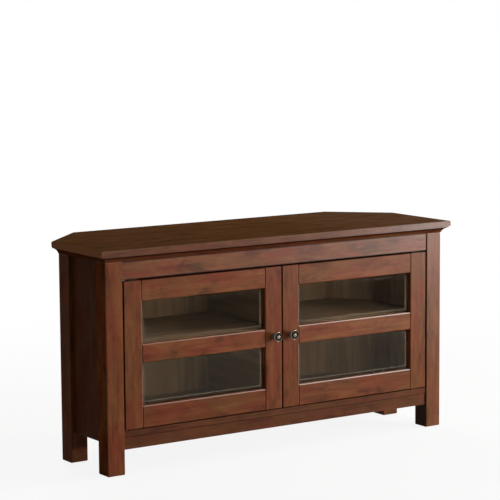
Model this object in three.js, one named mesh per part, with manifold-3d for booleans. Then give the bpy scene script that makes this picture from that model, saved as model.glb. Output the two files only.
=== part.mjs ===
// Corner media cabinet in stained wood: a six-sided top on a mitred crown moulding, four square legs,
// two inset glazed doors on knife hinges, and a divided inside with a shelf on pins at each side.
// Millimetres, +Z up. The front faces -Y and +X is to the right of someone who stands in front of it.
// The origin is on the floor, below the middle of the whole outline with the knobs.
import * as THREE from "three";
import { mergeVertices } from "three/addons/utils/BufferGeometryUtils.js";
import Module from "manifold-3d";

const wasm = await Module();
wasm.setup();

// Whole cabinet
const width = 1118; // top board, side to side
const depth = 406; // top board, front edge to back edge
const height = 584;
const overhang = 20; // top board past the legs, at the front and the sides
const cornerCut = 142; // each back corner, cut off at 45 degrees: along the side and along the back

// Clearances
const fit = 0.3; // between pieces that are fixed to each other
const doorGap = 3; // round each door, and between the two
const overrun = 4; // how far a cutter passes the face that it cuts

// Top board
const topThickness = 18;
const topArris = 1.5; // eased upper edge
const edgeStepDepth = 4; // routed step under the front and side edges
const edgeStepHeight = 4;

// Crown moulding
const mouldingHeight = 14;
const mouldingReach = 15; // past the legs, at its top
const mouldingLip = 1; // past the legs, at its foot
const mouldingLipHeight = 2;
const coveSag = 1.8; // how far its hollow face dips below the straight line
const coveSteps = 6;

// Legs
const legSide = 50;
const legArris = 2;
const glideThickness = 3;
const glideDiameter = 24;
const glideArris = 0.8;

// Front rails and sill
const railThickness = 20;
const railArris = 1;
const topRailHeight = 48;
const topRailRecess = 2.5; // behind the legs' faces
const bottomRailHeight = 32;
const bottomRailRecess = 5;
const bottomRailClearance = 66.7; // floor to its underside
const sillThickness = 16; // strip over the bottom rail, in front of the cabinet floor
const sillRecess = 3.5;
const sillDepth = 20;
const tenonThickness = 8;
const tenonLength = 15;
const tenonShoulder = 6; // rail left above and below the tenon

// Side, corner and back panels
const panelThickness = 15;
const panelRecess = 12; // side panel behind the legs' outer faces
const panelClearance = 83; // floor to the undersides of all these panels
const tongueThickness = 6; // side panel's tongues in the legs' grooves
const tongueLength = 7;
const cornerReveal = 2; // corner panel inside the rear leg's outer face
const backSetback = 16; // back panel in from the top board's back edge
const backThickness = 12;
const cableHoleDiameter = 60;
const cableHoleAcross = 270; // from the middle, where the door frames hide it from the front corners
const lowerCableHoleHeight = 212;
const upperCableHoleBelowTop = 126; // its middle, under the top board

// Floor, partition and shelves
const floorThickness = 16;
const partitionThickness = 16;
const partitionSetback = 4; // behind the doors' backs
const shelfThickness = 16;
const shelfHeight = 334; // floor to the shelf's top
const shelfSetback = 16; // behind the doors' backs
const shelfClearance = 2; // to what stands at its ends and back
const shelfArris = 1;

// Shelf pins and their rows of holes
const pinShankDiameter = 5;
const pinHoleWeb = 2; // partition left between two facing holes
const pinCollarDiameter = 9;
const pinCollarThickness = 1.2;
const pinSupportDiameter = 7;
const pinSupportLength = 10;
const pinPitch = 32;
const pinHolesEachWay = 2; // spare holes above and below the one in use
const frontPinInset = 8; // from the front leg's back face
const rearPinInset = 60; // from the back panel, on the partition

// Doors
const doorThickness = 20;
const doorArris = 1.2; // eased outer edges
const stileWidth = 53;
const doorTopRailHeight = 55;
const doorMiddleRailHeight = 48;
const doorBottomRailHeight = 57;
const lowerPaneHeight = 112; // clear height of the lower glass
const glassBevel = 2.4; // round the glass, on the face
const jointArris = 0.8; // on the rails' ends, which makes the joint lines
const glassThickness = 4;
const glassSetback = 10; // behind the door's face
const paneBevelWidth = 16; // ground round the pane's front
const paneEdgeThickness = 2.4;
const grooveDepth = 8; // glass groove in stiles and rails
const glassPlay = 1; // between the glass's edge and the groove's bottom

// Knife hinges
const pivotInset = 16; // pin to the door's outer edge
const leafThickness = 2.5;
const leafWidth = 9;
const leafProud = 1.2; // of the wood that it is let into, in the gap
const leafMargin = 2; // stile left between the leaf and the glass groove
const hingePinDiameter = 4;
const washerDiameter = 8;

// Knobs
const knobDiameter = 27;
const knobProjection = 25; // past the door's face
const knobFromEdge = 25; // centre to the door's meeting edge
const knobAboveRailMiddle = 4;
const knobShaftDiameter = 4;
const knobScrewHeadDiameter = 9;
const knobScrewHeadHeight = 2.5;
const knobPlay = 0.4; // round the shaft in the stile
// Outline from the base to the middle of the head: shares of the radius and of the projection.
const knobOutlineShares = [
  [0.56, 0], [0.6, 0.04], [0.56, 0.1], [0.4, 0.18], [0.36, 0.34], [0.46, 0.48], [0.78, 0.58],
  [0.96, 0.64], [1, 0.72], [0.95, 0.79], [0.82, 0.82], [0.7, 0.79], [0.66, 0.83], [0.56, 0.92],
  [0.32, 0.98],
];

// Magnetic catches and their strike plates
const catchWidth = 13;
const catchDepth = 16;
const catchHeight = 42;
const catchBelowDoorTop = 30; // its middle
const poleThickness = 1.5;
const poleSpacing = 5; // between the middles of the two poles
const poleHeight = 30;
const poleProud = 0.6;
const strikeWidth = 11;
const strikeThickness = 1.5;
const strikeHeight = 34;

// Facets of round pieces
const knobSides = 32;
const roundSides = 16;
const holeSides = 12;
const cableHoleSides = 32;

// Places that follow from the sizes
const topUnderside = height - topThickness;
const legTop = topUnderside - mouldingHeight;
const legOuter = width / 2 - overhang;
const legInner = legOuter - legSide;
const topBackEdge = depth - overhang;
const sideDepth = topBackEdge - cornerCut; // front legs' faces to rear legs' backs
const backCornerX = width / 2 - cornerCut;
const sillUnderside = bottomRailClearance + bottomRailHeight + fit;
const sillTop = sillUnderside + sillThickness;
const topRailUnderside = legTop - topRailHeight;
const doorBottom = sillTop + doorGap;
const doorTop = topRailUnderside - doorGap;
const doorHeight = doorTop - doorBottom;
const doorWidth = legInner - doorGap - doorGap / 2;
const pivotX = legInner - doorGap - pivotInset;
const pivotDepth = doorThickness / 2;
const sidePanelInner = legOuter - panelRecess - panelThickness;
const backOuter = topBackEdge - backSetback;
const backInner = backOuter - backThickness;
const upperCableHoleHeight = topUnderside - upperCableHoleBelowTop;
const cornerOuterSum = legOuter - cornerReveal + sideDepth; // x + y along the corner panel's outside
const cornerInnerSum = cornerOuterSum - panelThickness * Math.SQRT2;
const shelfUnderside = shelfHeight - shelfThickness;
const pinHeight = shelfUnderside - fit - pinSupportDiameter / 2;
const pinHoleDepth = (partitionThickness - pinHoleWeb) / 2;
const leafLength = stileWidth - grooveDepth - pivotInset - leafMargin; // past the pin
const grooveFront = glassSetback - fit;
const grooveBack = glassSetback + glassThickness + fit;
const middleRailBottom = doorBottomRailHeight + lowerPaneHeight;
const frontmost = Math.max(overhang, knobProjection);
const legFaceY = (frontmost - topBackEdge) / 2;

// Materials
const wood = new THREE.MeshStandardMaterial({ color: 0x6f4230, roughness: 0.45, metalness: 0 });
const darkWood = new THREE.MeshStandardMaterial({ color: 0x4a2f22, roughness: 0.5, metalness: 0 });
const inside = new THREE.MeshStandardMaterial({ color: 0x3c2f24, roughness: 0.65, metalness: 0 });
const glass = new THREE.MeshStandardMaterial({ color: 0x6e7468, roughness: 0.08, metalness: 0 });
const pewter = new THREE.MeshStandardMaterial({ color: 0x5b5650, roughness: 0.35, metalness: 0.9 });
const steel = new THREE.MeshStandardMaterial({ color: 0x9a9a98, roughness: 0.3, metalness: 1 });
const bronze = new THREE.MeshStandardMaterial({ color: 0x3f382c, roughness: 0.45, metalness: 1 });
const plastic = new THREE.MeshStandardMaterial({ color: 0x2a2724, roughness: 0.6, metalness: 0 });

// The same surface with shared corners, and without the collapsed triangles of a lathe's axis.
function closed(geometry) {
  const loose = geometry.index ? geometry.toNonIndexed() : geometry;
  const bare = new THREE.BufferGeometry().setAttribute("position", loose.getAttribute("position"));
  const merged = mergeVertices(bare);
  const corners = merged.index.array;
  const kept = [];
  for (let i = 0; i < corners.length; i += 3) {
    const [a, b, c] = corners.slice(i, i + 3);
    if (a !== b && b !== c && c !== a) kept.push(a, b, c);
  }
  return merged.setIndex(kept);
}

function solid(geometry) {
  const { index, attributes } = closed(geometry);
  const vertProperties = attributes.position.array;
  return new wasm.Manifold(
    new wasm.Mesh({ numProp: 3, vertProperties, triVerts: new Uint32Array(index.array) }),
  );
}

function surface(body) {
  const { vertProperties, triVerts } = body.getMesh();
  return new THREE.BufferGeometry()
    .setAttribute("position", new THREE.BufferAttribute(vertProperties, 3))
    .setIndex(new THREE.BufferAttribute(triVerts, 1));
}

function cut(geometry, ...cutters) {
  return surface(cutters.reduce((body, cutter) => body.subtract(solid(cutter)), solid(geometry)));
}

function join(geometry, ...pieces) {
  return surface(pieces.reduce((body, piece) => body.add(solid(piece)), solid(geometry)));
}

// A copy turned over in one axis, about a plane at the given place along it.
function mirrored(geometry, axis, about = 0) {
  const flip = new THREE.Vector3(1, 1, 1);
  flip[axis] = -1;
  const shift = new THREE.Vector3();
  shift[axis] = 2 * about;
  const copy = closed(geometry).scale(...flip).translate(...shift);
  const corners = copy.index.array;
  for (let i = 0; i < corners.length; i += 3) {
    [corners[i + 1], corners[i + 2]] = [corners[i + 2], corners[i + 1]];
  }
  return copy;
}

const points = (pairs) => pairs.map(([u, v]) => new THREE.Vector2(u, v));

function block([x0, x1], [y0, y1], [z0, z1]) {
  const box = new THREE.BoxGeometry(x1 - x0, y1 - y0, z1 - z0);
  return box.translate((x0 + x1) / 2, (y0 + y1) / 2, (z0 + z1) / 2);
}

// An upright prism over a plan, given as a shape or as pairs of x and y.
function prism(plan, [from, to]) {
  const shape = Array.isArray(plan) ? new THREE.Shape(points(plan)) : plan;
  const settings = { depth: to - from, bevelEnabled: false, curveSegments: roundSides / 2 };
  return new THREE.ExtrudeGeometry(shape, settings).translate(0, 0, from);
}

// Turns a form that was drawn in y and z, and raised along its own third axis, to lie along X.
function alongX(geometry) {
  const [x, y, z] = [[1, 0, 0], [0, 1, 0], [0, 0, 1]].map((v) => new THREE.Vector3(...v));
  return geometry.applyMatrix4(new THREE.Matrix4().makeBasis(y, z, x));
}

// A round bar from one corner to another along one axis.
function bar(diameter, from, to, sides = roundSides) {
  const start = new THREE.Vector3(...from);
  const run = new THREE.Vector3(...to).sub(start);
  const turn = new THREE.Quaternion();
  turn.setFromUnitVectors(new THREE.Vector3(0, 1, 0), run.clone().normalize());
  const cylinder = new THREE.CylinderGeometry(diameter / 2, diameter / 2, run.length(), sides);
  return cylinder.applyQuaternion(turn).translate(...start.addScaledVector(run, 0.5));
}

// A skin through rings of matching points, closed by the outline at both ends. The outline runs
// anticlockwise as seen from the last ring.
function loft(outline, rings) {
  const count = outline.length;
  const last = (rings.length - 1) * count;
  const index = [];
  for (const face of THREE.ShapeUtils.triangulateShape(outline, [])) {
    const forward = THREE.ShapeUtils.area(face.map((i) => outline[i])) > 0;
    const [a, b, c] = forward ? face : [...face].reverse();
    index.push(c, b, a, last + a, last + b, last + c);
  }
  for (let start = 0; start < last; start += count) {
    for (let i = 0; i < count; i += 1) {
      const [a, b] = [start + i, start + ((i + 1) % count)];
      index.push(a, b, b + count, a, b + count, a + count);
    }
  }
  return new THREE.BufferGeometry().setFromPoints(rings.flat()).setIndex(index);
}

// Rings of the same outline form at rising levels.
function stack(levels) {
  const rings = levels.map(([ring, at]) => ring.map(({ x, y }) => new THREE.Vector3(x, y, at)));
  return loft(levels[0][0], rings);
}

// The outline drawn in by the same amount along every edge.
function drawnIn(outline, amount) {
  return outline.map((point, i) => {
    const before = outline[(i + outline.length - 1) % outline.length];
    const after = outline[(i + 1) % outline.length];
    const [m, n] = [[before, point], [point, after]].map(([from, to]) => {
      const along = to.clone().sub(from).normalize();
      return new THREE.Vector2(-along.y, along.x);
    });
    return point.clone().addScaledVector(m.clone().add(n), amount / (1 + m.dot(n)));
  });
}

// A turned form about Z: pairs of radius and height, from the bottom of its axis to the top.
function turned(profile, sides = roundSides) {
  return new THREE.LatheGeometry(points(profile), sides).rotateX(Math.PI / 2);
}

function topBoard() {
  const side = width / 2;
  const plan = points([
    [-side, -overhang], [side, -overhang], [side, sideDepth],
    [backCornerX, topBackEdge], [-backCornerX, topBackEdge], [-side, sideDepth],
  ]);
  const board = stack([
    [plan, topUnderside],
    [plan, height - topArris],
    [drawnIn(plan, topArris), height],
  ]);
  const stepHeights = [topUnderside - overrun, topUnderside + edgeStepHeight];
  const stepFront = block(
    [-side - overrun, side + overrun],
    [-overhang - overrun, -overhang + edgeStepDepth],
    stepHeights,
  );
  const stepSide = block(
    [side - edgeStepDepth, side + overrun],
    [-overhang - overrun, sideDepth + edgeStepDepth + overrun],
    stepHeights,
  );
  return cut(board, stepFront, stepSide, mirrored(stepSide, "x"));
}

// Section of the crown moulding: how far out of the legs' faces, and how high over the legs' tops.
function mouldingProfile() {
  const foot = new THREE.Vector2(mouldingLip, mouldingLipHeight);
  const head = new THREE.Vector2(mouldingReach, mouldingHeight);
  const run = head.clone().sub(foot);
  const inwards = new THREE.Vector2(-run.y, run.x).normalize();
  const dip = foot.clone().add(head).multiplyScalar(0.5).addScaledVector(inwards, 2 * coveSag);
  const cove = new THREE.QuadraticBezierCurve(foot, dip, head).getPoints(coveSteps);
  const [heel, back] = points([[mouldingLip, 0], [-legSide, 0]]);
  return [back, heel, ...cove, new THREE.Vector2(-legSide, mouldingHeight)];
}

// Each mitre follows the diagonal out of the leg's corner, where the two outward distances match.
function frontMoulding() {
  const profile = mouldingProfile();
  const ends = [1, -1].map((end) =>
    profile.map(({ x, y }) => new THREE.Vector3(end * (legOuter + x - fit), -x, legTop + y)),
  );
  return loft(profile, ends);
}

function sideMoulding() {
  const profile = mouldingProfile();
  const square = profile.map(({ x, y }) => new THREE.Vector3(legOuter + x, sideDepth, legTop + y));
  const mitre = profile.map(({ x, y }) => new THREE.Vector3(legOuter + x, fit - x, legTop + y));
  return loft(profile, [square, mitre]);
}

function leg(backFace) {
  const [x0, x1, y0, y1] = [legInner, legOuter, backFace - legSide, backFace];
  const a = legArris;
  const plan = points([
    [x0 + a, y0], [x1 - a, y0], [x1, y0 + a], [x1, y1 - a],
    [x1 - a, y1], [x0 + a, y1], [x0, y1 - a], [x0, y0 + a],
  ]);
  return stack([
    [drawnIn(plan, legArris / 2), glideThickness],
    [plan, glideThickness + legArris],
    [plan, legTop - fit],
  ]);
}

// The groove for a side panel's tongue, in the leg face at the given depth.
function panelGroove(face, inward) {
  const middle = sidePanelInner + panelThickness / 2;
  const half = tongueThickness / 2 + fit;
  const reach = [face - inward * overrun, face + inward * (tongueLength + fit)];
  const heights = [panelClearance - fit, legTop + overrun];
  return block([middle - half, middle + half], reach.sort((a, b) => a - b), heights);
}

// A column of shelf pin holes, bored outwards from the given face.
function pinHoles(face, outward, y) {
  const holes = [];
  for (let step = -pinHolesEachWay; step <= pinHolesEachWay; step += 1) {
    const z = pinHeight + step * pinPitch;
    const [from, to] = [face - outward * overrun, face + outward * pinHoleDepth];
    holes.push(bar(pinShankDiameter + fit, [from, y, z], [to, y, z], holeSides));
  }
  return holes;
}

const frontPinY = legSide - frontPinInset;
const rearLegPinY = sideDepth - legSide / 2;
const rearPartitionPinY = backInner - rearPinInset;

function railTenon(recess, [bottom, top], extra = 0) {
  const middle = recess + railThickness / 2;
  const half = tenonThickness / 2 + extra;
  return block(
    [legInner - overrun, legInner + tenonLength + extra],
    [middle - half, middle + half],
    [bottom + tenonShoulder - extra, top - tenonShoulder + extra],
  );
}

const topRailSpan = [topRailUnderside, legTop - fit];
const bottomRailSpan = [bottomRailClearance, bottomRailClearance + bottomRailHeight];
const sillSpan = [sillUnderside, sillTop];

function frontLeg() {
  return cut(
    leg(legSide),
    panelGroove(legSide, -1),
    railTenon(topRailRecess, topRailSpan, fit),
    railTenon(bottomRailRecess, bottomRailSpan, fit),
    ...pinHoles(legInner, 1, frontPinY),
  );
}

function rearLeg() {
  return cut(
    leg(sideDepth),
    panelGroove(sideDepth - legSide, 1),
    ...pinHoles(legInner, 1, rearLegPinY),
  );
}

function glide(backFace) {
  const radius = glideDiameter / 2;
  const disc = turned([
    [0, 0], [radius - glideArris, 0], [radius, glideArris],
    [radius, glideThickness - fit], [0, glideThickness - fit],
  ]);
  return disc.translate(legOuter - legSide / 2, backFace - legSide / 2, 0);
}

// A bar between the front legs with eased front edges.
function crossBar(recess, thickness, [bottom, top]) {
  const back = recess + thickness;
  const section = [
    [recess + railArris, bottom], [back, bottom], [back, top],
    [recess + railArris, top], [recess, top - railArris], [recess, bottom + railArris],
  ];
  return alongX(prism(section, [fit - legInner, legInner - fit]));
}

// A rail has a tenon in each front leg.
function frontRail(recess, span) {
  const tenon = railTenon(recess, span);
  return join(crossBar(recess, railThickness, span), tenon, mirrored(tenon, "x"));
}

// The top rail and the sill are mortised for the doors' hinge leaves.
function topFrontRail() {
  const mortise = topHinge(leafMortise());
  return cut(frontRail(topRailRecess, topRailSpan), mortise, mirrored(mortise, "x"));
}

function frontSill() {
  const mortise = leafMortise();
  return cut(crossBar(sillRecess, sillDepth, sillSpan), mortise, mirrored(mortise, "x"));
}

function sidePanel() {
  const [x0, x1] = [sidePanelInner, sidePanelInner + panelThickness];
  const [t0, t1] = [-1, 1].map((way) => (x0 + x1) / 2 + (way * tongueThickness) / 2);
  const [y0, y1] = [legSide + fit, sideDepth - legSide - fit];
  const [e0, e1] = [y0 - tongueLength, y1 + tongueLength];
  const plan = [
    [x0, y0], [t0, y0], [t0, e0], [t1, e0], [t1, y0], [x1, y0],
    [x1, y1], [t1, y1], [t1, e1], [t0, e1], [t0, y1], [x0, y1],
  ];
  return prism(plan, [panelClearance, legTop - fit]);
}

// Closes the cut-off corner: bevelled at both ends, from the rear leg's back to the back panel.
function cornerPanel() {
  const start = sideDepth + fit;
  const plan = [
    [cornerInnerSum - start, start], [cornerOuterSum - start, start],
    [cornerOuterSum - backOuter, backOuter], [cornerInnerSum - backOuter, backOuter],
  ];
  return prism(plan, [panelClearance, topUnderside - fit]);
}

function backPanel() {
  const sum = cornerInnerSum - fit * Math.SQRT2;
  const plan = [
    [backInner - sum, backInner], [sum - backInner, backInner],
    [sum - backOuter, backOuter], [backOuter - sum, backOuter],
  ];
  const holes = [-cableHoleAcross, cableHoleAcross].flatMap((x) =>
    [lowerCableHoleHeight, upperCableHoleHeight].map((z) => {
      const ends = [backInner - overrun, backOuter + overrun];
      return bar(cableHoleDiameter, [x, ends[0], z], [x, ends[1], z], cableHoleSides);
    }),
  );
  return cut(prism(plan, [panelClearance, topUnderside - fit]), ...holes);
}

function cabinetFloor() {
  const legSideX = legInner - fit;
  const cornerSum = cornerInnerSum - fit * Math.SQRT2;
  const front = sillRecess + sillDepth + fit;
  const [rearLegFront, rearLegBack] = [sideDepth - legSide - fit, sideDepth + fit];
  const right = [
    [legSideX, front], [legSideX, legSide + fit], [sidePanelInner - fit, legSide + fit],
    [sidePanelInner - fit, rearLegFront], [legSideX, rearLegFront], [legSideX, rearLegBack],
    [cornerSum - rearLegBack, rearLegBack], [cornerSum - backInner + fit, backInner - fit],
  ];
  const left = right.map(([x, y]) => [-x, y]).reverse();
  return prism([...right, ...left], [sillTop - floorThickness, sillTop]);
}

// Its upper front corner is notched round the moulding's inner edge.
function centrePartition() {
  const [front, back] = [doorThickness + partitionSetback, backInner - fit];
  const [low, high, notch] = [sillTop + fit, topUnderside - fit, legTop - fit];
  const section = [
    [front, low], [back, low], [back, high],
    [legSide + fit, high], [legSide + fit, notch], [front, notch],
  ];
  const half = partitionThickness / 2;
  const board = alongX(prism(section, [-half, half]));
  const holes = [frontPinY, rearPartitionPinY].flatMap((y) => pinHoles(half, -1, y));
  return cut(board, ...holes, ...holes.map((hole) => mirrored(hole, "x")));
}

function shelf() {
  const [inner, outer] = [partitionThickness / 2 + shelfClearance, legInner - shelfClearance];
  const [front, back] = [doorThickness + shelfSetback, backInner - shelfClearance];
  const cornerSum = cornerInnerSum - shelfClearance * Math.SQRT2;
  const plan = [
    [inner, front], [outer, front], [outer, cornerSum - outer],
    [cornerSum - back, back], [inner, back],
  ];
  const outline = points(plan);
  return stack([
    [outline, shelfUnderside],
    [outline, shelfHeight - shelfArris],
    [drawnIn(outline, shelfArris), shelfHeight],
  ]);
}

// A pin stands out of its face towards the shelf: outward is the side of the face that it is in.
function shelfPin(face, outward, y) {
  const [shank, collar, support] = [pinShankDiameter, pinCollarDiameter, pinSupportDiameter].map(
    (diameter) => diameter / 2,
  );
  const pin = turned([
    [0, fit - pinHoleDepth], [shank, fit - pinHoleDepth], [shank, 0], [collar, 0],
    [collar, pinCollarThickness], [support, pinCollarThickness],
    [support, pinSupportLength], [0, pinSupportLength],
  ]);
  return pin.rotateY((-outward * Math.PI) / 2).translate(face, y, pinHeight);
}

// Door pieces are drawn from the left door's outer lower corner: x across it, y into its thickness.
const doorPlace = (geometry) => geometry.translate(-pivotInset, -pivotDepth, doorBottom);

function leafOutline(extra = 0) {
  const [reach, half] = [leafLength + extra, leafWidth / 2 + extra];
  const shape = new THREE.Shape();
  shape.moveTo(reach, -half);
  shape.lineTo(reach, half);
  shape.lineTo(0, half);
  shape.absarc(0, 0, half, Math.PI / 2, (3 * Math.PI) / 2, false);
  return shape;
}

const leafSunk = leafThickness - leafProud;

// The recess in the sill for the leaf of the left door's lower hinge.
function leafMortise() {
  const heights = [sillTop - leafSunk - fit, sillTop + overrun];
  return prism(leafOutline(fit), heights).translate(-pivotX, pivotDepth, 0);
}

const topHinge = (geometry) => mirrored(geometry, "z", (sillTop + topRailUnderside) / 2);

const doorLeafSpan = [doorBottom - leafProud, doorBottom + leafSunk];

// The leaf in the sill or the top rail carries the pin and the washer that bears the door.
function frameLeaf() {
  const plate = prism(leafOutline(), [sillTop - leafSunk, sillTop + leafProud]);
  const washer = bar(washerDiameter, [0, 0, sillTop], [0, 0, doorLeafSpan[0] - fit]);
  const pin = bar(hingePinDiameter, [0, 0, sillTop], [0, 0, doorLeafSpan[1]]);
  return join(plate, washer, pin).translate(-pivotX, pivotDepth, 0);
}

function doorLeaf() {
  const hole = bar(
    hingePinDiameter + 2 * fit,
    [0, 0, doorLeafSpan[0] - overrun],
    [0, 0, doorLeafSpan[1] + overrun],
  );
  return cut(prism(leafOutline(), doorLeafSpan), hole);
}

// Plan of a stile, with its glazed edge to the right.
function stilePlan() {
  const [w, t, a, b] = [stileWidth, doorThickness, doorArris, glassBevel];
  return [
    [a, 0], [w - b, 0], [w, b], [w, grooveFront], [w - grooveDepth, grooveFront],
    [w - grooveDepth, grooveBack], [w, grooveBack], [w, t], [0, t], [0, a],
  ];
}

function hingeStile() {
  const stile = doorPlace(prism(stilePlan(), [0, doorHeight]));
  const low = prism(leafOutline(fit), [doorBottom - overrun, doorLeafSpan[1] + fit]);
  return cut(stile, low, topHinge(low));
}

const knobHeight = doorBottom + middleRailBottom + doorMiddleRailHeight / 2 + knobAboveRailMiddle;
const knobX = doorWidth - pivotInset - knobFromEdge;

function meetingStile() {
  const stile = mirrored(prism(stilePlan(), [0, doorHeight]), "x", doorWidth / 2);
  const ends = [-pivotDepth - overrun, doorThickness - pivotDepth + overrun];
  const hole = bar(
    knobShaftDiameter + 2 * knobPlay,
    [knobX, ends[0], knobHeight],
    [knobX, ends[1], knobHeight],
    holeSides,
  );
  return cut(doorPlace(stile), hole);
}

// Section of a door rail in y and z, with its face moved back to the given y. A glazed edge has a
// bevel and a groove, and the others only an eased corner.
function doorRailSection(railHeight, glassBelow, glassAbove, face) {
  const groove = [grooveFront, grooveBack];
  const below = glassBelow ? glassBevel : doorArris;
  const above = glassAbove ? glassBevel : doorArris;
  const lowGroove = [
    [groove[0], 0], [groove[0], grooveDepth], [groove[1], grooveDepth], [groove[1], 0],
  ];
  const highGroove = lowGroove.map(([y, z]) => [y, railHeight - z]).reverse();
  return points([
    [below, 0], ...(glassBelow ? lowGroove : []), [doorThickness, 0],
    [doorThickness, railHeight], ...(glassAbove ? highGroove : []), [above, railHeight],
    [face, railHeight - above + face], [face, below - face],
  ]);
}

// Between the stiles, with eased ends and a tongue in each stile's groove.
function doorRail(bottom, railHeight, glassBelow, glassAbove) {
  const [x0, x1] = [stileWidth + fit, doorWidth - stileWidth - fit];
  const section = (face) => doorRailSection(railHeight, glassBelow, glassAbove, face);
  const body = stack([
    [section(jointArris), x0],
    [section(0), x0 + jointArris],
    [section(0), x1 - jointArris],
    [section(jointArris), x1],
  ]);
  const tongue = block(
    [stileWidth - grooveDepth + fit, doorWidth - stileWidth + grooveDepth - fit],
    [grooveFront + fit, grooveBack - fit],
    [glassBelow ? grooveDepth : 0, glassAbove ? railHeight - grooveDepth : railHeight],
  );
  return doorPlace(join(alongX(body), tongue).translate(0, 0, bottom));
}

// A pane with a bevel ground all round its front. It is drawn flat, with its front up.
function pane([bottom, top]) {
  const inGroove = grooveDepth - glassPlay;
  const [x0, x1] = [stileWidth - inGroove, doorWidth - stileWidth + inGroove];
  const [z0, z1] = [bottom - inGroove, top + inGroove];
  const outline = points([[x0, z0], [x1, z0], [x1, z1], [x0, z1]]);
  const flat = stack([
    [outline, 0],
    [outline, paneEdgeThickness],
    [drawnIn(outline, paneBevelWidth), glassThickness],
  ]);
  return doorPlace(flat.rotateX(Math.PI / 2).translate(0, glassSetback + glassThickness, 0));
}

// The knob with its screw, which passes through the stile to a head on the door's back.
function knob() {
  const [shaft, head] = [knobShaftDiameter / 2, knobScrewHeadDiameter / 2];
  const back = -doorThickness - fit;
  const outline = knobOutlineShares.map(([r, h]) => [
    (r * knobDiameter) / 2,
    fit + h * (knobProjection - fit),
  ]);
  const profile = [
    [0, back - knobScrewHeadHeight], [head, back - knobScrewHeadHeight], [head, back],
    [shaft, back], [shaft, fit], ...outline, [0, knobProjection],
  ];
  return turned(profile, knobSides)
    .rotateX(Math.PI / 2)
    .translate(knobX, -pivotDepth, knobHeight);
}

const catchMiddle = doorTop - catchBelowDoorTop;
const catchX = partitionThickness / 2 + fit + catchWidth / 2;

// A magnetic catch on the partition's right face: its case, and the two poles that it shows.
function doorCatch() {
  const front = doorThickness + fit + strikeThickness + fit + poleProud;
  const across = (middle, size) => [middle - size / 2, middle + size / 2];
  const shell = block(
    across(catchX, catchWidth),
    [front, front + catchDepth],
    across(catchMiddle, catchHeight),
  );
  const poles = [-1, 1].map((way) =>
    block(
      across(catchX + (way * poleSpacing) / 2, poleThickness),
      [front - poleProud, front + catchDepth / 2],
      across(catchMiddle, poleHeight),
    ),
  );
  return join(shell, ...poles);
}

// The strike is drawn on the right door, about that door's hinge axis.
function strikePlate() {
  const back = doorThickness - pivotDepth + fit;
  return block(
    [catchX - pivotX - strikeWidth / 2, catchX - pivotX + strikeWidth / 2],
    [back, back + strikeThickness],
    [catchMiddle - strikeHeight / 2, catchMiddle + strikeHeight / 2],
  );
}

function add(group, name, geometry, material) {
  const mesh = new THREE.Mesh(geometry, material);
  mesh.name = name;
  group.add(mesh);
}

// Adds a piece on its own side and its mirror image on the other.
function addBothSides(left, right, name, rightGeometry, material) {
  add(right, `right_${name}`, rightGeometry, material);
  add(left, `left_${name}`, mirrored(rightGeometry, "x"), material);
}

const cabinet = new THREE.Group();
cabinet.position.y = legFaceY;

function addCarcass() {
  add(cabinet, "top_board", topBoard(), wood);
  add(cabinet, "front_moulding", frontMoulding(), darkWood);
  add(cabinet, "top_front_rail", topFrontRail(), wood);
  add(cabinet, "bottom_front_rail", frontRail(bottomRailRecess, bottomRailSpan), wood);
  add(cabinet, "front_sill", frontSill(), wood);
  add(cabinet, "cabinet_floor", cabinetFloor(), inside);
  add(cabinet, "back_panel", backPanel(), inside);
  add(cabinet, "centre_partition", centrePartition(), inside);
  const pairs = [
    ["side_moulding", sideMoulding(), darkWood],
    ["front_leg", frontLeg(), wood],
    ["rear_leg", rearLeg(), wood],
    ["front_glide", glide(legSide), plastic],
    ["rear_glide", glide(sideDepth), plastic],
    ["side_panel", sidePanel(), darkWood],
    ["corner_panel", cornerPanel(), darkWood],
    ["shelf", shelf(), inside],
    ["shelf_pin_front_outer", shelfPin(legInner, 1, frontPinY), steel],
    ["shelf_pin_rear_outer", shelfPin(legInner, 1, rearLegPinY), steel],
    ["shelf_pin_front_inner", shelfPin(partitionThickness / 2, -1, frontPinY), steel],
    ["shelf_pin_rear_inner", shelfPin(partitionThickness / 2, -1, rearPartitionPinY), steel],
    ["door_catch", doorCatch(), plastic],
    ["lower_hinge_frame_leaf", mirrored(frameLeaf(), "x"), bronze],
    ["upper_hinge_frame_leaf", mirrored(topHinge(frameLeaf()), "x"), bronze],
  ];
  for (const [name, geometry, material] of pairs) {
    addBothSides(cabinet, cabinet, name, geometry, material);
  }
}

function addDoors() {
  const [leftDoor, rightDoor] = [-1, 1].map((side) => {
    const door = new THREE.Group();
    door.position.set(side * pivotX, pivotDepth, 0);
    cabinet.add(door);
    return door;
  });
  const middleRailTop = middleRailBottom + doorMiddleRailHeight;
  const topRailBottom = doorHeight - doorTopRailHeight;
  const leftPieces = [
    ["door_hinge_stile", hingeStile(), wood],
    ["door_meeting_stile", meetingStile(), wood],
    ["door_bottom_rail", doorRail(0, doorBottomRailHeight, false, true), wood],
    ["door_middle_rail", doorRail(middleRailBottom, doorMiddleRailHeight, true, true), wood],
    ["door_top_rail", doorRail(topRailBottom, doorTopRailHeight, true, false), wood],
    ["door_lower_glass", pane([doorBottomRailHeight, middleRailBottom]), glass],
    ["door_upper_glass", pane([middleRailTop, topRailBottom]), glass],
    ["door_knob", knob(), pewter],
    ["lower_hinge_door_leaf", doorLeaf(), bronze],
    ["upper_hinge_door_leaf", topHinge(doorLeaf()), bronze],
    ["door_strike_plate", mirrored(strikePlate(), "x"), steel],
  ];
  for (const [name, geometry, material] of leftPieces) {
    addBothSides(leftDoor, rightDoor, name, mirrored(geometry, "x"), material);
  }
}

addCarcass();
addDoors();

const model = new THREE.Group();
model.add(cabinet);

export default model;
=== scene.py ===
from math import cos, pi, radians, sin, tau

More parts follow.
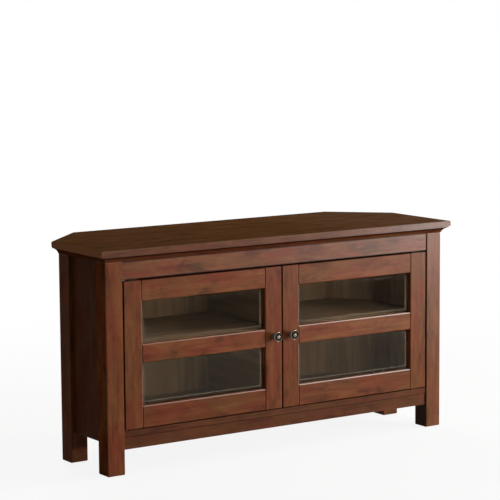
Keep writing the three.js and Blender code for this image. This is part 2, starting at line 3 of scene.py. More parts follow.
import bmesh
import bpy
from mathutils import Matrix, Quaternion, Vector


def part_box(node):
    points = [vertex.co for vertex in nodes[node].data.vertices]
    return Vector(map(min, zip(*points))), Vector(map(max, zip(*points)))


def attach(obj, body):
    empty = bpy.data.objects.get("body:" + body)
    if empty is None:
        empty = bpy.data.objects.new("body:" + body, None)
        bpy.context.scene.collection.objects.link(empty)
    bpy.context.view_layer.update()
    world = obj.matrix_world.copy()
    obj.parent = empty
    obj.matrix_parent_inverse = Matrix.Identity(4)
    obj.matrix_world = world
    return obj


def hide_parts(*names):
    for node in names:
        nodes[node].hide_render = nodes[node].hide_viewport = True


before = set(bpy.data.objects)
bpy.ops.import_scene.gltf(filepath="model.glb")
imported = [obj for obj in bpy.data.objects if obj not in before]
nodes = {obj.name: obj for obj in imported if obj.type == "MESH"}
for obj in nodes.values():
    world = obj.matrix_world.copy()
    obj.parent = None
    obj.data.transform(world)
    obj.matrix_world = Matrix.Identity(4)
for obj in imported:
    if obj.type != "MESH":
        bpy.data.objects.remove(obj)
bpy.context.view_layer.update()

# Corner cabinet: satin stained wood, two glazed doors, pewter knobs, knife hinges.
# Metres, +X to the right, +Y to the back, +Z up. The doors' faces are at y = -0.1805.

scene = bpy.context.scene
sides = ("left", "right")
print("cabinet loaded:", len(nodes), "nodes")


# Node helpers

def newMaterial(name):
    material = bpy.data.materials.new(name)
    material.use_nodes = True
    tree = material.node_tree
    return material, tree, tree.nodes["Principled BSDF"]


def feed(tree, socket, value):
    if isinstance(value, bpy.types.NodeSocket):
        tree.links.new(value, socket)
    else:
        socket.default_value = value


def addNode(tree, kind, inputs=None, **settings):
    node = tree.nodes.new("ShaderNode" + kind)
    for key, value in settings.items():
        setattr(node, key, value)
    for key, value in (inputs or {}).items():
        feed(tree, node.inputs[key], value)
    return node


def calc(tree, operation, first, second=0.0):
    return addNode(tree, "Math", {0: first, 1: second}, operation=operation).outputs[0]


def times(tree, first, second):
    return calc(tree, "MULTIPLY", first, second)


def spread(tree, value, fromRange, toRange=(0.0, 1.0)):
    inputs = {"Value": value, "From Min": fromRange[0], "From Max": fromRange[1],
              "To Min": toRange[0], "To Max": toRange[1]}
    return addNode(tree, "MapRange", inputs, interpolation_type="SMOOTHSTEP").outputs[0]


def blendColours(tree, factor, under, over):
    node = addNode(tree, "Mix", data_type="RGBA")
    feed(tree, node.inputs[0], factor)
    for socket, colour in ((node.inputs[6], under), (node.inputs[7], over)):
        feed(tree, socket, colour if isinstance(colour, bpy.types.NodeSocket) else (*colour, 1))
    return node.outputs[2]


def noise(tree, place, scale, detail=2.0, roughness=0.5, distortion=0.0):
    inputs = {"Vector": place, "Scale": scale, "Detail": detail, "Roughness": roughness,
              "Distortion": distortion}
    return addNode(tree, "TexNoise", inputs).outputs[0]


def objectPlace(tree, location=(0, 0, 0), scale=(1, 1, 1)):
    source = addNode(tree, "TexCoord").outputs["Object"]
    inputs = {"Vector": source, "Location": location, "Scale": scale}
    return addNode(tree, "Mapping", inputs).outputs[0]


def addBump(tree, shader, height, distance, strength=1.0, arris=0.0):
    inputs = {"Height": height, "Distance": distance, "Strength": strength}
    if arris:  # eased edges catch the light
        inputs["Normal"] = addNode(tree, "Bevel", {"Radius": arris}, samples=6).outputs[0]
    tree.links.new(addNode(tree, "Bump", inputs).outputs[0], shader.inputs["Normal"])


# Wood

wood = {
    "darkStainAndPaintedShade": (0.020, 0.0055, 0.0025),  # dark stain in pores and growth lines, and the tone of the painted shade
    "red": (0.120, 0.0265, 0.0105),
    "brown": (0.102, 0.0350, 0.0112),
    "pale": (0.165, 0.0600, 0.0200),
    "arrisWearAndPaintedLight": (0.240, 0.1200, 0.0750),  # pale tone of rubbed arrises, also a painted highlight on the doors
    "brownShare": 0.50,  # against red
    "mottle": (21.0, 0.40),  # each pattern's scale, and its stretch along the grain
    "figure": (48.0, 0.08),
    "blotch": (36.0, 0.35),
    "streak": (170.0, 0.03),
    "pores": (1300.0, 0.03),
    "paleFigure": 0.48,  # how strongly the patterns show
    "paleBlotch": 0.42,
    "darkBlotch": 0.50,
    "darkStreak": 0.36,
    "darkPores": 0.4,
    "depth": 0.0,  # darker all over
    "paintedShadeAside": 0.5,  # and painted shade on the faces that don't look to the front
    "paintedShadeTone": (0.020, 0.0055, 0.0025),
    "paintedShadeOnTop": False,  # or that painted shade only on the upper face
    "gapLine": 0.0,  # width of the painted shade along the left arris, beside a gap
    "topLine": 0.0,  # and along the upper one
    "doorLine": 0.0,  # and round a whole door
    "lineDark": 0.85,  # how dark those painted shade lines are
    "doorRim": (0.005, 0.008),  # how near to a door's rim nothing is rubbed
    "paintedHighlightSide": (-0.004, 0.004),  # where along a door board's width the pale arris tone starts: a painted highlight kept to the right and upper arrises
    "raggedScale": 60.0,
    "touchScale": 11.0,
    "wearWidth": 0.0013,
    "arrisShare": 0.35,
    "arris": 0.0010,  # radius of the eased edges
    "arrisRoughness": 0.24,  # polished by hands and cloths
    "specular": 0.02,
    "frontCoat": 0.08,  # lacquer on the faces that look to the front
    "arrisCoat": 0.12,  # and where arrises are polished
    "coatRoughness": 0.34,
    "roughness": (0.31, 0.38),
    "poreRoughness": 0.12,  # that much more in the pores
    "poreDepth": 0.00015,
    "poreBump": 0.6,
}
stains = {  # what differs from that on each kind of board
    # the top rail's arrises take the dark tone: painted shade in the gaps above and below it
    "rail": {"arrisWearAndPaintedLight": (0.020, 0.0055, 0.0025), "arrisShare": 0.85, "wearWidth": 0.0028, "frontCoat": 0.17},
    # base and sill are darker all over as painted shade below the doors, and the base has a line of painted shadow
    # under the sill
    "base": {"depth": 0.46, "brownShare": 0.75, "arrisShare": 0.10, "topLine": 0.0013},
    "sill": {"depth": 0.46, "brownShare": 0.75, "arrisShare": 0.10},
    # the right leg has a line of painted shade along its left arris, beside the door gap
    "leg": {"depth": 0.06, "brownShare": 0.62, "frontCoat": 0.15, "gapLine": 0.0030},
    "shadyLeg": {"paintedShadeAside": 0.0, "specular": 0.0, "frontCoat": 0.12, "brownShare": 0.42, "depth": 0.05},
    # door boards: a line of painted shade round each door's rim, in the gaps
    "stile": {"wearWidth": 0.0027, "arrisShare": 0.45, "depth": 0.12, "paintedShadeAside": 0.0, "doorLine": 0.0016,
              "arrisCoat": 0.80},
    "door": {"wearWidth": 0.0027, "arrisShare": 0.45, "doorLine": 0.0022, "arrisCoat": 0.80},
    "doorBase": {"wearWidth": 0.0027, "arrisShare": 0.45, "depth": 0.18, "doorLine": 0.0018, "arrisCoat": 0.80},
    # painted shade under the top's overhang: darker all over, with a dark line along its upper edge
    "moulding": {"depth": 0.58, "paintedShadeAside": 0.0, "arrisShare": 0.05, "specular": 0.0, "frontCoat": 0.02, "arrisCoat": 0.0,
                 "topLine": 0.0045},
    # the top's upper face gets painted shade in an olive tone, and its left end painted light
    "top": {"red": (0.092, 0.0285, 0.0125), "brown": (0.084, 0.0325, 0.0155), "pale": (0.140, 0.0570, 0.0300),
            "arrisWearAndPaintedLight": (0.200, 0.1050, 0.0640), "brownShare": 0.60, "specular": 0.0, "roughness": (0.50, 0.60),
            "paintedShadeAside": 0.30, "paintedShadeTone": (0.055, 0.0380, 0.0080), "paintedShadeOnTop": True, "frontCoat": 0.14,
            "arrisCoat": 0.0, "paintedLightLeftEnd": (0.270, 0.1150, 0.0540), "leftEndShare": 0.85,
            "polish": 0.11, "polishAcross": (0.05, 0.50), "polishAbove": 0.25},
    "side": {"depth": 0.28, "paintedShadeAside": 0.0, "brownShare": 0.60, "specular": 0.01, "roughness": (0.42, 0.55)},
    "panel": {"depth": 0.60, "paintedShadeAside": 0.0, "brownShare": 0.40, "specular": 0.01, "roughness": (0.44, 0.58),
              "arrisShare": 0.0, "lining": ((0.125, 0.070, 0.037), (0.190, 0.110, 0.058))},
}
doorInner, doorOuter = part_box("right_door_meeting_stile")[0].x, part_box("right_door_hinge_stile")[1].x
doorBottom, doorTop = (corner.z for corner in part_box("right_door_hinge_stile"))


def edgeDistance(tree, place, half):  # from a point on a board's face to its nearest arris
    size = addNode(tree, "VectorMath", {0: place}, operation="ABSOLUTE").outputs[0]
    left = addNode(tree, "VectorMath", {0: tuple(half), 1: size}, operation="SUBTRACT").outputs[0]
    x, y, z = addNode(tree, "SeparateXYZ", {0: left}).outputs
    small = calc(tree, "MINIMUM", x, y)
    large = calc(tree, "MINIMUM", calc(tree, "MAXIMUM", x, y), z)
    return calc(tree, "MAXIMUM", small, large)


def makeBoardMaterial(board, grain, stain):
    material, tree, shader = newMaterial("wood_" + board)
    look = {**wood, **stains[stain]}
    low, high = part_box(board)
    middle, half = (low + high) / 2, (high - low) / 2
    start = [23.7 * (middle[i] + 1.3 * i) for i in range(3)]  # each board comes from its own plank

    def pattern(name, detail, roughness, distortion=0.0):
        scale, stretch = look[name]
        place = objectPlace(tree, start, [stretch if axis == grain else 1.0 for axis in "xyz"])
        return noise(tree, place, scale, detail, roughness, distortion)

    mottle = pattern("mottle", 3.0, 0.55, 0.5)
    figure = pattern("figure", 3.0, 0.55, 0.8)
    streak = pattern("streak", 3.0, 0.6, 0.2)
    pores = pattern("pores", 1.0, 0.5)
    blotch = pattern("blotch", 3.0, 0.55, 0.5)

    hue = calc(tree, "ADD", spread(tree, mottle, (0.36, 0.64), (-0.5, 0.5)), look["brownShare"])
    colour = blendColours(tree, addNode(tree, "Clamp", {0: hue}).outputs[0], look["red"], look["brown"])
    for tone, field, limits, share in (("pale", figure, (0.46, 0.70), "paleFigure"),
                                       ("pale", blotch, (0.50, 0.70), "paleBlotch"),
                                       ("darkStainAndPaintedShade", blotch, (0.49, 0.28), "darkBlotch"),
                                       ("darkStainAndPaintedShade", streak, (0.46, 0.30), "darkStreak")):
        colour = blendColours(tree, spread(tree, field, limits, (0.0, look[share])), colour, look[tone])
    dark = spread(tree, pores, (0.42, 0.30))
    colour = blendColours(tree, times(tree, dark, look["darkPores"]), colour, look["darkStainAndPaintedShade"])

    facing = addNode(tree, "TexCoord").outputs["Normal"]
    facingX, facingY, facingZ = addNode(tree, "SeparateXYZ", {0: facing}).outputs
    toFront = spread(tree, calc(tree, "ABSOLUTE", facingY), (0.30, 0.60))
    if look["depth"]:
        colour = blendColours(tree, look["depth"], colour, look["darkStainAndPaintedShade"])
    # painted shade: the faces turned away from the front, or the top's upper face, are darker
    if look["paintedShadeAside"] > look["depth"]:
        if look["paintedShadeOnTop"]:
            aside = spread(tree, facingZ, (0.50, 0.80))
        else:
            aside = calc(tree, "SUBTRACT", 1.0, toFront)
        colour = blendColours(tree, times(tree, aside, look["paintedShadeAside"]), colour, look["paintedShadeTone"])
    if "paintedLightLeftEnd" in look:  # painted light: the end that looks to the left is lighter
        end = spread(tree, facingX, (-0.4, -0.8), (0.0, look["leftEndShare"]))
        colour = blendColours(tree, end, colour, look["paintedLightLeftEnd"])
    if "lining" in look:  # laminate on the face inside the cabinet
        inward = (-0.8 if middle.x > 0 else 0.8, -0.6, 0.0)
        inside = addNode(tree, "VectorMath", {0: facing, 1: inward}, operation="DOT_PRODUCT").outputs["Value"]
        lining = blendColours(tree, spread(tree, figure, (0.36, 0.66)), *look["lining"])
        colour = blendColours(tree, spread(tree, inside, (0.68, 0.76)), colour, lining)

    centred = objectPlace(tree, tuple(-middle))
    across, _, upward = addNode(tree, "SeparateXYZ", {0: centred}).outputs
    width = look["wearWidth"]
    ragged = times(tree, noise(tree, centred, look["raggedScale"], 3.0, 0.6), 0.8 * width)
    arris = calc(tree, "ADD", edgeDistance(tree, centred, half), ragged)
    rubbed = spread(tree, arris, (width * 1.6, width * 1.2))
    lines = []  # painted shade along the gaps: distance to the gap, width
    if look["gapLine"]:
        lines.append((calc(tree, "ADD", across, half.x), look["gapLine"]))
    if look["topLine"]:
        lines.append((calc(tree, "SUBTRACT", half.z, upward), look["topLine"]))
    if look["doorLine"]:
        fromMiddle = calc(tree, "ABSOLUTE", calc(tree, "ADD", across, middle.x))
        toSide = calc(tree, "MINIMUM", calc(tree, "SUBTRACT", doorOuter, fromMiddle),
                      calc(tree, "SUBTRACT", fromMiddle, doorInner))
        toEnd = calc(tree, "MINIMUM", calc(tree, "SUBTRACT", doorTop - middle.z, upward),
                     calc(tree, "ADD", upward, middle.z - doorBottom))
        toRim = calc(tree, "MINIMUM", toSide, toEnd)
        lines.append((toRim, look["doorLine"]))
        rubbed = times(tree, rubbed, spread(tree, toRim, look["doorRim"]))
        paintedHighlightSide = spread(tree, across if grain == "z" else upward, look["paintedHighlightSide"])
        rubbed = times(tree, rubbed, paintedHighlightSide)  # painted highlight: only the right and upper arrises, which face the lamps, keep the pale tone and polish
    # arris tone: pale where rubbed, partly a painted highlight; on the top rail a dark painted shade
    colour = blendColours(tree, times(tree, rubbed, look["arrisShare"]), colour, look["arrisWearAndPaintedLight"])
    lacquer = calc(tree, "MAXIMUM", times(tree, toFront, look["frontCoat"]), times(tree, rubbed, look["arrisCoat"]))
    if "polish" in look:  # glossier towards its right end, on the front edge above all
        polished = spread(tree, across, look["polishAcross"], (0.0, look["polish"]))
        above = spread(tree, facingZ, (0.60, 0.90), (0.0, look["polishAbove"]))
        shown = calc(tree, "MAXIMUM", toFront, above)
        lacquer = calc(tree, "ADD", lacquer, times(tree, polished, shown))
    # painted shade: dark lines along the gaps, with no lacquer on them
    for distance, line in lines:
        stained = spread(tree, calc(tree, "ADD", distance, ragged), (line * 1.5, line), (0.0, look["lineDark"]))
        colour = blendColours(tree, stained, colour, look["darkStainAndPaintedShade"])
        lacquer = times(tree, lacquer, calc(tree, "SUBTRACT", 1.0, stained))
    tree.links.new(colour, shader.inputs["Base Color"])

    touched = noise(tree, centred, look["touchScale"], 3.0, 0.6)
    rough = spread(tree, touched, (0.35, 0.65), look["roughness"])
    rough = calc(tree, "ADD", rough, times(tree, dark, look["poreRoughness"]))
    smoother = times(tree, calc(tree, "SUBTRACT", look["arrisRoughness"], rough), rubbed)
    tree.links.new(calc(tree, "ADD", rough, smoother), shader.inputs["Roughness"])
    shader.inputs["Specular IOR Level"].default_value = look["specular"]
    tree.links.new(lacquer, shader.inputs["Coat Weight"])
    shader.inputs["Coat Roughness"].default_value = look["coatRoughness"]
    height = calc(tree, "SUBTRACT", times(tree, streak, 0.5), dark)
    addBump(tree, shader, height, look["poreDepth"], look["poreBump"], look["arris"])
    return material


boards = {  # grain direction and stain of each board
    "top_board": ("x", "top"),
    "front_moulding": ("x", "moulding"),
    "top_front_rail": ("x", "rail"),
    "bottom_front_rail": ("x", "base"),
    "front_sill": ("x", "sill"),
    "left_front_leg": ("z", "shadyLeg"),
    "right_front_leg": ("z", "leg"),
}
pairedBoards = {  # and of those that are there on the left and on the right
    "side_moulding": ("y", "moulding"),
    "rear_leg": ("z", "side"),
    "side_panel": ("z", "panel"),
    "corner_panel": ("z", "panel"),
    "door_hinge_stile": ("z", "stile"),
    "door_meeting_stile": ("z", "stile"),
    "door_bottom_rail": ("x", "doorBase"),
    "door_middle_rail": ("x", "door"),
    "door_top_rail": ("x", "door"),
}


def dress(node, material):
    nodes[node].data.materials.clear()
    nodes[node].data.materials.append(material)


for side in sides:
    boards.update({side + "_" + name: look for name, look in pairedBoards.items()})
for board, (grain, stain) in boards.items():
    dress(board, makeBoardMaterial(board, grain, stain))
print("boards stained:", len(boards))


# Interior laminate

laminate = {
    "dark": (0.125, 0.070, 0.037),
    "light": (0.190, 0.110, 0.058),
    "dusty": (0.190, 0.118, 0.070),
    "stretch": 0.06,  # of the print, along its grain
    "bandScale": 42.0,
    "fibreScale": 400.0,
    "fibreDepth": 0.00005,
    "fibreShare": 0.22,
    "dustScale": 5.0,
    "dustShare": 0.25,
    "roughness": (0.42, 0.56),
    "specular": 0.10,
}


def makeLaminate(name, grain):
    material, tree, shader = newMaterial("laminate_" + name)
    scale = [laminate["stretch"] if axis == grain else 1.0 for axis in "xyz"]
    place = objectPlace(tree, (0.7 * len(name), 1.9, 0.4), scale)
    bands = noise(tree, place, laminate["bandScale"], 5.0, 0.62, 0.7)
    fibres = noise(tree, place, laminate["fibreScale"], 2.0, 0.6)
    dust = noise(tree, objectPlace(tree), laminate["dustScale"], 4.0, 0.6)
    colour = blendColours(tree, spread(tree, bands, (0.36, 0.66)), laminate["dark"], laminate["light"])
    threads = spread(tree, fibres, (0.5, 0.32), (0.0, laminate["fibreShare"]))
    colour = blendColours(tree, threads, colour, laminate["dark"])
    settled = spread(tree, dust, (0.55, 0.8), (0.0, laminate["dustShare"]))
    colour = blendColours(tree, settled, colour, laminate["dusty"])
    tree.links.new(colour, shader.inputs["Base Color"])
    tree.links.new(spread(tree, dust, (0.35, 0.7), laminate["roughness"]), shader.inputs["Roughness"])
    shader.inputs["Specular IOR Level"].default_value = laminate["specular"]
    addBump(tree, shader, fibres, laminate["fibreDepth"], 0.4)
    return material


dress("cabinet_floor", makeLaminate("floor", "x"))
dress("back_panel", makeLaminate("back", "z"))
dress("centre_partition", makeLaminate("partition", "y"))
for side in sides:
    dress(side + "_shelf", makeLaminate(side + "_shelf", "x"))
print("interior laminated")


# Glass

glass = {
    "tint": (0.91, 0.92, 0.88),
    "marked": (0.80, 0.82, 0.78),
    "ior": {"upper": 1.13, "lower": 1.24},  # how strongly each pane mirrors
    "mirrorTint": (1.0, 0.84, 0.64),
    "roughness": (0.0, 0.02),  # clean glass to faint finger marks
    "marksScale": 14.0,
    "marksShare": 0.2,
    "bevel": 0.016,  # width of the ground border
    "line": (0.0004, 0.0013),  # half width of its inner edge, sharp part and fade
    "lineRoughness": 0.06,
    "lineTint": (0.85, 0.74, 0.58),
    "lineScatter": 0.055,
    "litSide": 2.1,  # painted highlight: how much more the edge line scatters on the side towards the lamps
    "upperSide": 0.4,  # painted shade: and how much less below the rail above it
    "sideFade": (0.004, 0.001),  # before the edge line, where that changes
    "shadow": (0.78, 0.80, 0.77),  # what it lets through to the inside
}


def makeGlass(pane):
    material, tree, shader = newMaterial("clear_glass_" + pane)
    low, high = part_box(pane)
    half = (high - low) / 2
    centred = objectPlace(tree, tuple(-(low + high) / 2))
    marks = noise(tree, centred, glass["marksScale"], 4.0, 0.6, 0.4)
    touched = spread(tree, marks, (0.5, 0.8), (0.0, glass["marksShare"]))
    tint = blendColours(tree, touched, glass["tint"], glass["marked"])
    x, y, z = addNode(tree, "SeparateXYZ", {0: centred}).outputs
    across = calc(tree, "SUBTRACT", half.x, calc(tree, "ABSOLUTE", x))
    upright = calc(tree, "SUBTRACT", half.z, calc(tree, "ABSOLUTE", z))
    inward = calc(tree, "SUBTRACT", calc(tree, "MINIMUM", across, upright), glass["bevel"])
    line = spread(tree, calc(tree, "ABSOLUTE", inward), glass["line"], (1.0, 0.0))
    tree.links.new(blendColours(tree, line, tint, glass["lineTint"]), shader.inputs["Base Color"])
    smears = spread(tree, marks, (0.45, 0.75), glass["roughness"])
    tree.links.new(calc(tree, "ADD", smears, times(tree, line, glass["lineRoughness"])), shader.inputs["Roughness"])

    def beyond(place, reach, share):  # 1 on most of the pane, share from one side's edge line on
        edge = reach - glass["bevel"]
        return spread(tree, place, [edge - fade for fade in glass["sideFade"]], (1.0, share))

    # painted highlight on the edge line towards the lamps, painted shade below the rail above
    lit = times(tree, beyond(x, half.x, glass["litSide"]), glass["lineScatter"])
    shaded = times(tree, line, beyond(z, half.z, glass["upperSide"]))
    tree.links.new(calc(tree, "SUBTRACT", 1.0, times(tree, shaded, lit)), shader.inputs["Transmission Weight"])
    shader.inputs["IOR"].default_value = glass["ior"]["lower" if "lower" in pane else "upper"]
    shader.inputs["Specular Tint"].default_value = (*glass["mirrorTint"], 1)
    through = addNode(tree, "BsdfTransparent", {"Color": (*glass["shadow"], 1)})
    path = addNode(tree, "LightPath").outputs["Is Shadow Ray"]
    mixed = addNode(tree, "MixShader", {0: path, 1: shader.outputs[0], 2: through.outputs[0]})
    tree.links.new(mixed.outputs[0], tree.nodes["Material Output"].inputs["Surface"])
    return material


for side in sides:
    for pane in (side + "_door_lower_glass", side + "_door_upper_glass"):
        dress(pane, makeGlass(pane))
print("doors glazed")


# Metal and plastic

metals = {
    "zinc": {"dark": (0.30, 0.30, 0.29), "light": (0.62, 0.62, 0.60), "roughness": (0.26, 0.42)},
    "bronze": {"dark": (0.012, 0.009, 0.006), "light": (0.036, 0.028, 0.019), "roughness": (0.60, 0.78)},
}
brushed = {"stretch": (0.05, 1.0, 1.0), "scale": 2600.0, "depth": 0.00004, "cloudScale": 160.0}  # along x


def makeMetal(name):
    look = metals[name]
    material, tree, shader = newMaterial(name)
    lines = noise(tree, objectPlace(tree, scale=brushed["stretch"]), brushed["scale"], 3.0, 0.6)
    cloud = noise(tree, objectPlace(tree), brushed["cloudScale"], 3.0, 0.6)
    mixed = calc(tree, "ADD", times(tree, lines, 0.6), times(tree, cloud, 0.4))
    colour = blendColours(tree, spread(tree, mixed, (0.3, 0.62)), look["dark"], look["light"])
    tree.links.new(colour, shader.inputs["Base Color"])
    tree.links.new(spread(tree, cloud, (0.3, 0.7), look["roughness"]), shader.inputs["Roughness"])
    shader.inputs["Metallic"].default_value = 1.0
    addBump(tree, shader, lines, brushed["depth"], 0.5)
    return material


plastics = {
    "nylon": {"base": (0.030, 0.027, 0.024), "rubbed": (0.075, 0.068, 0.060), "roughness": (0.45, 0.62)},
    "catchCase": {"base": (0.045, 0.026, 0.016), "rubbed": (0.085, 0.055, 0.036), "roughness": (0.36, 0.50)},
    "rubber": {"base": (0.20, 0.19, 0.17), "rubbed": (0.32, 0.31, 0.28), "roughness": (0.55, 0.70)},
}
moulded = {"scale": 2400.0, "depth": 0.00006, "cloudScale": 90.0, "specular": 0.4}  # fine grain of the mould


def makePlastic(name):
    look = plastics[name]
    material, tree, shader = newMaterial(name)
    cloud = noise(tree, objectPlace(tree), moulded["cloudScale"], 3.0, 0.6)
    grainy = noise(tree, objectPlace(tree), moulded["scale"], 2.0, 0.5)
    colour = blendColours(tree, spread(tree, cloud, (0.42, 0.70)), look["base"], look["rubbed"])
    tree.links.new(colour, shader.inputs["Base Color"])
    tree.links.new(spread(tree, cloud, (0.35, 0.65), look["roughness"]), shader.inputs["Roughness"])
    shader.inputs["Specular IOR Level"].default_value = moulded["specular"]
    addBump(tree, shader, grainy, moulded["depth"], 0.5)
    return material


zinc, bronze = makeMetal("zinc"), makeMetal("bronze")
nylon, catchCase, rubber = makePlastic("nylon"), makePlastic("catchCase"), makePlastic("rubber")
fittings = {
    "shelf_pin_front_outer": zinc,
    "shelf_pin_rear_outer": zinc,
    "shelf_pin_front_inner": zinc,
    "shelf_pin_rear_inner": zinc,
    "door_strike_plate": zinc,
    "lower_hinge_frame_leaf": bronze,
    "upper_hinge_frame_leaf": bronze,
    "lower_hinge_door_leaf": bronze,
    "upper_hinge_door_leaf": bronze,
    "front_glide": nylon,
    "rear_glide": nylon,
    "door_catch": catchCase,
}
for side in sides:
    for name, material in fittings.items():
        dress(side + "_" + name, material)
print("fittings finished")


# Piece helpers

def newPiece(name, mesh, material, body):
    data = bpy.data.meshes.new(name)
    mesh.to_mesh(data)
    mesh.free()
    piece = bpy.data.objects.new(name, data)
    scene.collection.objects.link(piece)
    data.materials.append(material)
    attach(piece, body)
    return piece


def smoothSides(piece, limit=35):
    piece.data.shade_smooth()
    sharp = piece.modifiers.new("crisp edges", "EDGE_SPLIT")
    sharp.split_angle = radians(limit)


def turn(mesh, outline, steps):  # outline of radius and height, from axis to axis, round Z
    points = [mesh.verts.new((r, 0, h)) for r, h in outline]
    edges = [mesh.edges.new(pair) for pair in zip(points, points[1:])]
    bmesh.ops.spin(mesh, geom=points + edges, cent=(0, 0, 0), axis=(0, 0, 1), angle=tau, steps=steps, use_merge=True)
    bmesh.ops.remove_doubles(mesh, verts=mesh.verts, dist=1e-6)
    bmesh.ops.recalc_face_normals(mesh, faces=mesh.faces)


def join(mesh, part):  # moves a finished part into a piece's mesh
    data = bpy.data.meshes.new("part")
    part.to_mesh(data)
    part.free()
    mesh.from_mesh(data)
    bpy.data.meshes.remove(data)


# Knobs

knob = {
    "outline": [  # radius and height above the door's face, mm
        (0, 0.02), (7.2, 0.02), (7.8, 0.4), (8.0, 1.1), (7.6, 1.8), (6.6, 2.3), (5.6, 3.1), (5.0, 4.4), (4.7, 6.2),
        (4.6, 8.2), (5.0, 10.0), (6.1, 11.7), (8.1, 13.1), (10.4, 14.2), (12.3, 15.4), (13.3, 16.9), (13.5, 18.0),
        (13.2, 19.2), (12.6, 20.3), (11.9, 20.8), (11.1, 20.5), (10.5, 19.4), (9.8, 17.9), (8.9, 17.2),
        (7.7, 17.3), (6.9, 18.2), (6.3, 19.9), (5.6, 21.7), (4.6, 23.3), (3.2, 24.4), (1.6, 24.9), (0, 25.0)],
    "steps": 64,
    "shank": {"segments": 20, "radius": 0.002, "length": 0.0206, "middle": -0.0100},
    "groove": {"inner": (0.0050, 0.0066), "outer": (0.0108, 0.0118), "forward": (0.0155, 0.0175)},  # dark ring
    "neck": (0.0160, 0.0110),  # dark from there back to the door
    "neckShare": 0.85,
    "patina": (0.022, 0.015, 0.009),
    "pewter": (0.098, 0.078, 0.055),
    "rubbed": (0.35, 0.30, 0.245),
    "roughness": (0.22, 0.46),
    "castScale": 420.0,
    "castDepth": 0.00012,
}
doorFace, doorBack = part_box("left_door_top_rail")[0].y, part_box("left_door_top_rail")[1].y
knobLow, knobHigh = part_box("right_door_knob")
knobAcross, knobHeight = (knobLow.x + knobHigh.x) / 2, (knobLow.z + knobHigh.z) / 2


def makePewter(side, middle):
    material, tree, shader = newMaterial("pewter_" + side)
    centred = objectPlace(tree, tuple(-middle))
    x, y, z = addNode(tree, "SeparateXYZ", {0: centred}).outputs
    flat = addNode(tree, "CombineXYZ", {0: x, 1: 0.0, 2: z}).outputs[0]
    radius = addNode(tree, "VectorMath", {0: flat}, operation="LENGTH").outputs["Value"]
    forward = times(tree, y, -1.0)  # height above the door's face
    inner = spread(tree, radius, knob["groove"]["inner"])
    outer = spread(tree, radius, knob["groove"]["outer"], (1.0, 0.0))
    groove = times(tree, times(tree, inner, outer), spread(tree, forward, knob["groove"]["forward"]))
    neck = spread(tree, forward, knob["neck"], (0.0, knob["neckShare"]))
    cast = noise(tree, centred, knob["castScale"], 4.0, 0.6)
    deep = calc(tree, "MAXIMUM", groove, neck)
    deep = calc(tree, "ADD", deep, spread(tree, cast, (0.58, 0.75), (0.0, 0.35)))
    colour = blendColours(tree, spread(tree, cast, (0.35, 0.6), (1.0, 0.0)), knob["pewter"], knob["rubbed"])
    colour = blendColours(tree, addNode(tree, "Clamp", {0: deep}).outputs[0], colour, knob["patina"])
    tree.links.new(colour, shader.inputs["Base Color"])
    tree.links.new(spread(tree, deep, (0.0, 1.0), knob["roughness"]), shader.inputs["Roughness"])
    shader.inputs["Metallic"].default_value = 1.0
    addBump(tree, shader, cast, knob["castDepth"], 0.4)
    return material


for side, way in zip(sides, (-1, 1)):
    middle = Vector((way * knobAcross, doorFace, knobHeight))
    mesh = bmesh.new()
    turn(mesh, [(r / 1000, h / 1000) for r, h in knob["outline"]], knob["steps"])
    shank = knob["shank"]
    rod = bmesh.ops.create_cone(mesh, cap_ends=True, segments=shank["segments"], radius1=shank["radius"],
                                radius2=shank["radius"], depth=shank["length"])
    bmesh.ops.translate(mesh, verts=rod["verts"], vec=(0, 0, shank["middle"]))
    bmesh.ops.rotate(mesh, verts=mesh.verts, matrix=Matrix.Rotation(pi / 2, 3, "X"))
    bmesh.ops.translate(mesh, verts=mesh.verts, vec=middle)
    piece = newPiece(side + "_pewter_knob", mesh, makePewter(side, middle), side + "_door")
    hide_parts(side + "_door_knob")
    smoothSides(piece, 50)
print("knobs turned")


# Screws

screws = {
    "segments": 24,
    "cross": 0.62,  # half length of the cross, as a share of the head's radius
    "flat": 0.8,  # and the radius of the flat round it
    "recess": 0.45,  # depth of the cross, as a share of the head's height
    "shoulder": ((1.22, 0.30), (1.03, 0.70)),  # rounded shoulder, then the side: growth and share of the height
    "back": {"radius": 0.0038, "height": 0.0016, "across": (-0.34, -0.17, 0.0, 0.17, 0.34), "row": 0.107,
             "heights": (0.22, 0.33, 0.44, 0.55)},  # a row at the bottom and a column in the middle
    "leaf": {"radius": 0.0024, "height": 0.0002, "across": (0.4615, 0.4490), "thickness": 0.0025},
    "knob": {"radius": 0.0045, "height": 0.0025},
}


